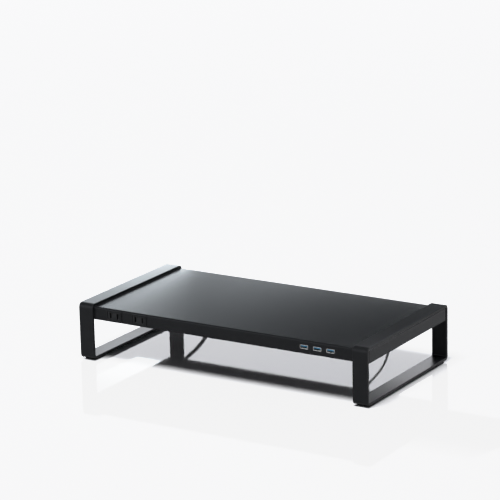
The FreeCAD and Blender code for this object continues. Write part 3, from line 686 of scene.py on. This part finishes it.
def make_backdrop():
    """A world that is bright in reflections, and dim as ambient light."""
    world = bpy.data.worlds.new("backdrop")
    world.use_nodes = True
    tree = world.node_tree
    background = tree.nodes["Background"]
    background.inputs["Color"].default_value = (*BACKDROP_TINT, 1)
    path = tree.nodes.new("ShaderNodeLightPath")
    glow = tree.nodes.new("ShaderNodeMapRange")
    glow.inputs["To Min"].default_value = BACKDROP_GLOW
    glow.inputs["To Max"].default_value = AMBIENT_GLOW
    tree.links.new(path.outputs["Is Diffuse Ray"], glow.inputs["Value"])
    tree.links.new(glow.outputs["Result"], background.inputs["Strength"])
    bpy.context.scene.world = world


def make_ceiling():
    """A dark ceiling above the key light, which the eased edges reflect."""
    ceiling = square("ceiling", CEILING_SIZE, CEILING_Z)
    ceiling.data.materials.append(new_finish("ceiling", CEILING_TINT, CEILING_ROUGHNESS)[0])
    only_reflected(ceiling)


def make_key_light():
    """A large soft light above the object, a little to its front."""
    data = bpy.data.lights.new("key_light", "AREA")
    data.shape = "DISK"
    data.size = KEY_LIGHT_SIZE
    data.energy = KEY_LIGHT_POWER
    light = new_object("key_light", data)
    light.location = KEY_LIGHT_PLACE
    light.rotation_euler = (-KEY_LIGHT_PLACE).to_track_quat("-Z", "Y").to_euler()


def make_card():
    """A graded glowing card behind the object, seen only in reflections: a painted reflection, which
    keeps the deck dark.
    """
    deck_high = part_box("deck_pan")[1]
    away = Vector((math.sin(CAMERA_AZIMUTH), math.cos(CAMERA_AZIMUTH)))
    rise = math.tan(CAMERA_ELEVATION)
    low_z = deck_high.z + rise * (CARD_Y - deck_high.y) / away.y - CARD_DROP
    corners = []
    for x, z in (
        (CARD_LEFT, low_z), (CARD_RIGHT, low_z), (CARD_RIGHT, CARD_TOP), (CARD_LEFT, CARD_TOP)
    ):
        lean = (z - deck_high.z) / rise * away.x
        corners.append((x - lean, CARD_Y, z))
    card = new_mesh("card", corners, [(0, 1, 2, 3)])
    spread = card.data.uv_layers.new(name="spread")
    for corner, place in zip(spread.data, ((0, 0), (1, 0), (1, 1), (0, 1))):
        corner.uv = place
    card.data.materials.append(card_finish())
    only_reflected(card)


def soften_highlights():
    """Plain colours, with the brightest tones eased towards white."""
    settings = bpy.context.scene.view_settings
    settings.view_transform = "Standard"
    settings.use_curve_mapping = True
    mapping = settings.curve_mapping
    mapping.white_level = (HIGHLIGHT_LIMIT, HIGHLIGHT_LIMIT, HIGHLIGHT_LIMIT)
    curve = mapping.curves[COMBINED_CURVE]
    curve.points[1].location = HIGHLIGHT_CURVE[-1]
    for place in HIGHLIGHT_CURVE[:-1]:
        curve.points.new(*place)
    for point in curve.points:
        point.handle_type = "VECTOR"
    mapping.update()


# Detailed pieces

def turned(name, profile, start):
    """A round piece about a line along Y, from places along it and radii."""
    rings = []
    for along, radius in profile:
        ring = []
        for step in range(RING_POINTS):
            angle = math.tau * step / RING_POINTS
            ring.append((
                start.x + radius * math.cos(angle), start.y + along, start.z + radius * math.sin(angle)
            ))
        rings.append(ring)
    return skin(name, rings)


def ribbed_profile(start, end, radius_start, radius_end, ribs):
    """Ribs with eased edges and grooves between them, along a taper."""
    profile = []
    pitch = (end - start) / ribs
    for rib in range(ribs):
        base = start + rib * pitch
        for share, sunk in RIB_SHAPE:
            along = base + share * pitch
            radius = radius_start + (radius_end - radius_start) * (along - start) / (end - start)
            profile.append((along, radius - sunk * RIB_DEPTH))
    return profile


def make_relief(name, node, exit_point, radius_base, radius_tip, neck, ribs):
    """A ribbed strain relief, with its flange against the cover and its neck inside it."""
    low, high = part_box(node)
    exit_at = Vector(exit_point)
    inside = low.y - exit_at.y
    flange = inside + RELIEF_COLLAR + COVER_THICK
    rim = radius_base - RIM_EASE
    profile = [
        (inside, rim - RIM_EASE),
        (inside + RIM_EASE, rim),
        (inside + RELIEF_COLLAR, rim),
        (inside + RELIEF_COLLAR, neck),
        (flange, neck),
        (flange, radius_base - RIM_EASE),
        (flange + RIM_EASE, radius_base),
        (flange + COVER_THICK - RIM_EASE, radius_base),
        (flange + COVER_THICK, radius_base - RIM_EASE),
    ]
    ribbed_from = flange + COVER_THICK + RIM_EASE
    profile += ribbed_profile(ribbed_from, -RIM_EASE, radius_base - 2 * RIM_EASE, radius_tip, ribs)
    profile += [(-RIM_EASE, radius_tip), (0, radius_tip - RIM_EASE)]
    relief = turned(name, profile, exit_at)
    shade_round(relief)
    return add_piece(relief, "cord_pvc", node)


def moulded_plug(name, start, heading, sections):
    """A moulded plug along X, from sections of place, half width, half height, centre and power."""
    rings = []
    for along, half_width, half_height, centre_z, power in sections:
        x = start.x + heading * along
        rings.append([
            (x, start.y + across, centre_z + up)
            for across, up in rounded_ring(half_width, half_height, power)
        ])
    plug = skin(name, rings)
    shade_round(plug)
    return plug


def boot_sections(length, radius_start, radius_end, centre_z, ribs):
    """The ribbed boot of a plug."""
    return [
        (along, radius, radius, centre_z, 2)
        for along, radius in ribbed_profile(0, length, radius_start, radius_end, ribs)
    ]


def make_plug(name, node, boot_z, heading, boot, shape):
    """A plug's moulding in its CAD box: a ribbed boot, then a body by its sections."""
    low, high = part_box(node)
    half_width, half_height = (high.y - low.y) / 2, (high.z - low.z) / 2
    start_x = low.x if heading > 0 else high.x
    start = Vector((start_x, (low.y + high.y) / 2, boot_z))
    boot_length = boot[0]
    body = high.x - low.x - boot_length
    middle = low.z + half_height
    sections = boot_sections(*boot[:3], boot_z, boot[3])
    for share, width, height, power in shape:
        sections.append((
            boot_length + share * body, half_width * width, half_height * height, middle, power
        ))
    plug = moulded_plug(name, start, heading, sections)
    return add_piece(plug, "cord_pvc", node)


def make_mains_plug():
    """The two-pin plug, with grip ridges on its waist and a flat face."""
    boot = (PLUG_BOOT, BOOT_R_START, BOOT_R_END, BOOT_RIBS)
    boot_z = MAINS_ROUTE[-1][2] + MAINS_D
    return make_plug("mains_plug_moulding", "mains_plug_body", boot_z, 1, boot, PLUG_SHAPE)


def make_usb_plug():
    """The USB plug's hood, with a dished grip."""
    boot = (HOOD_BOOT, HOOD_R_START, HOOD_R_END, HOOD_RIBS)
    boot_z = USB_ROUTE[-1][2] + USB_D
    return make_plug("usb_plug_moulding", "usb_plug_hood", boot_z, -1, boot, HOOD_SHAPE)


def strap_outline(low, high, inset, radius):
    """A rounded outline in Y and Z, a little inside a box."""
    centres = (
        (high.y - inset - radius, high.z - inset - radius, 0),
        (low.y + inset + radius, high.z - inset - radius, 90),
        (low.y + inset + radius, low.z + inset + radius, 180),
        (high.y - inset - radius, low.z + inset + radius, 270),
    )
    outline = []
    for y, z, first in centres:
        for step in range(CORNER_STEPS + 1):
            angle = math.radians(first + 90 * step / CORNER_STEPS)
            outline.append((y + radius * math.cos(angle), z + radius * math.sin(angle)))
    return outline


def make_tie(name, node):
    """A closed strap round a coil, with eased edges."""
    low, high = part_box(node)
    rings = []
    for x, inset in (
        (low.x, STRAP_EASE), (low.x + STRAP_EASE, 0), (high.x - STRAP_EASE, 0), (high.x, STRAP_EASE)
    ):
        rings.append([(x, y, z) for y, z in strap_outline(low, high, inset, STRAP_BEND)])
    for x in (high.x, low.x):
        outline = strap_outline(low, high, STRAP_THICK, STRAP_BEND - STRAP_THICK / 2)
        rings.append([(x, y, z) for y, z in outline])
    count = len(rings[0])
    corners = [corner for ring in rings for corner in ring]
    faces = []
    for number in range(len(rings)):
        base, following = number * count, (number + 1) % len(rings) * count
        for step in range(count):
            after = (step + 1) % count
            faces.append((base + step, base + after, following + after, following + step))
    tie = new_mesh(name, corners, faces)
    face_outwards(tie)
    shade_round(tie)
    return add_piece(tie, "tie_strap", node)


def make_tie_end(name, node):
    """The tie's free end: a tab that tapers to a rounded tip on top of the strap."""
    low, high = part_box(node)
    middle = (low.x + high.x) / 2
    half = (high.x - low.x) / 2 - STRAP_EASE
    rings = []
    for share, width, rise in TAB_SHAPE:
        y = low.y + STRAP_BEND + share * (high.y - low.y - 2 * STRAP_BEND)
        top = high.z + rise * STRAP_THICK
        bottom = high.z - STRAP_EASE
        reach = half * width
        rings.append([
            (middle - reach, y, bottom),
            (middle - reach, y, top - STRAP_EASE),
            (middle - reach + STRAP_EASE, y, top),
            (middle + reach - STRAP_EASE, y, top),
            (middle + reach, y, top - STRAP_EASE),
            (middle + reach, y, bottom),
        ])
    tab = skin(name, rings)
    shade_round(tab)
    return add_piece(tab, "tie_strap")


def make_port_springs():
    """Bent contact leaves at the bottom of each USB shell's mouth."""
    corners, faces = [], []
    for number in (1, 2, 3):
        low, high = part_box("usb_shell_" + str(number))
        middle = (low.x + high.x) / 2
        floor_z = low.z + SHELL_WALL
        for side in (-1, 1):
            x = middle + side * SPRING_APART / 2
            first = len(corners)
            for along, rise in SPRING_SHAPE:
                for across in (-SPRING_WIDTH / 2, SPRING_WIDTH / 2):
                    for thick in (0, SPRING_THICK):
                        corners.append((x + across, low.y + along, floor_z + rise + thick))
            for step in range(len(SPRING_SHAPE) - 1):
                a = first + 4 * step
                b = a + 4
                faces += [
                    (a, a + 2, b + 2, b), (a + 1, b + 1, b + 3, a + 3),
                    (a, b, b + 1, a + 1), (a + 2, a + 3, b + 3, b + 2),
                ]
            last = first + 4 * (len(SPRING_SHAPE) - 1)
            faces += [(first, first + 1, first + 3, first + 2), (last, last + 2, last + 3, last + 1)]
    springs = new_mesh("usb_port_springs", corners, faces)
    face_outwards(springs)
    return add_piece(springs, "shell_steel")


# Everything together

def finish_cad_nodes():
    """Each CAD node gets its slot's finish."""
    for part in frame["record"]["subparts"]:
        node = nodes[part["node"]]
        node.data.materials.clear()
        node.data.materials.append(finishes[part["material_slot"]])


finishes = make_finishes()
make_camera()
mains_lead = make_mains_cord()
usb_lead = make_usb_cable()
make_floor()
make_backdrop()
make_ceiling()
make_key_light()
make_card()
soften_highlights()
finish_cad_nodes()
make_relief(
    "mains_relief", "mains_gland", MAINS_ROUTE[0],
    MAINS_RELIEF_BASE, MAINS_RELIEF_TIP, MAINS_RELIEF_NECK, MAINS_RELIEF_RIBS,
)
make_relief(
    "usb_relief_boot", "usb_relief", USB_ROUTE[0],
    USB_RELIEF_BASE, USB_RELIEF_TIP, USB_RELIEF_NECK, USB_RELIEF_RIBS,
)
mains_plug = make_mains_plug()
usb_plug = make_usb_plug()
mains_strap = make_tie("mains_strap", "mains_tie")
mains_strap_end = make_tie_end("mains_strap_end", "mains_tie")
usb_strap = make_tie("usb_strap", "usb_tie")
usb_strap_end = make_tie_end("usb_strap_end", "usb_tie")
make_port_springs()
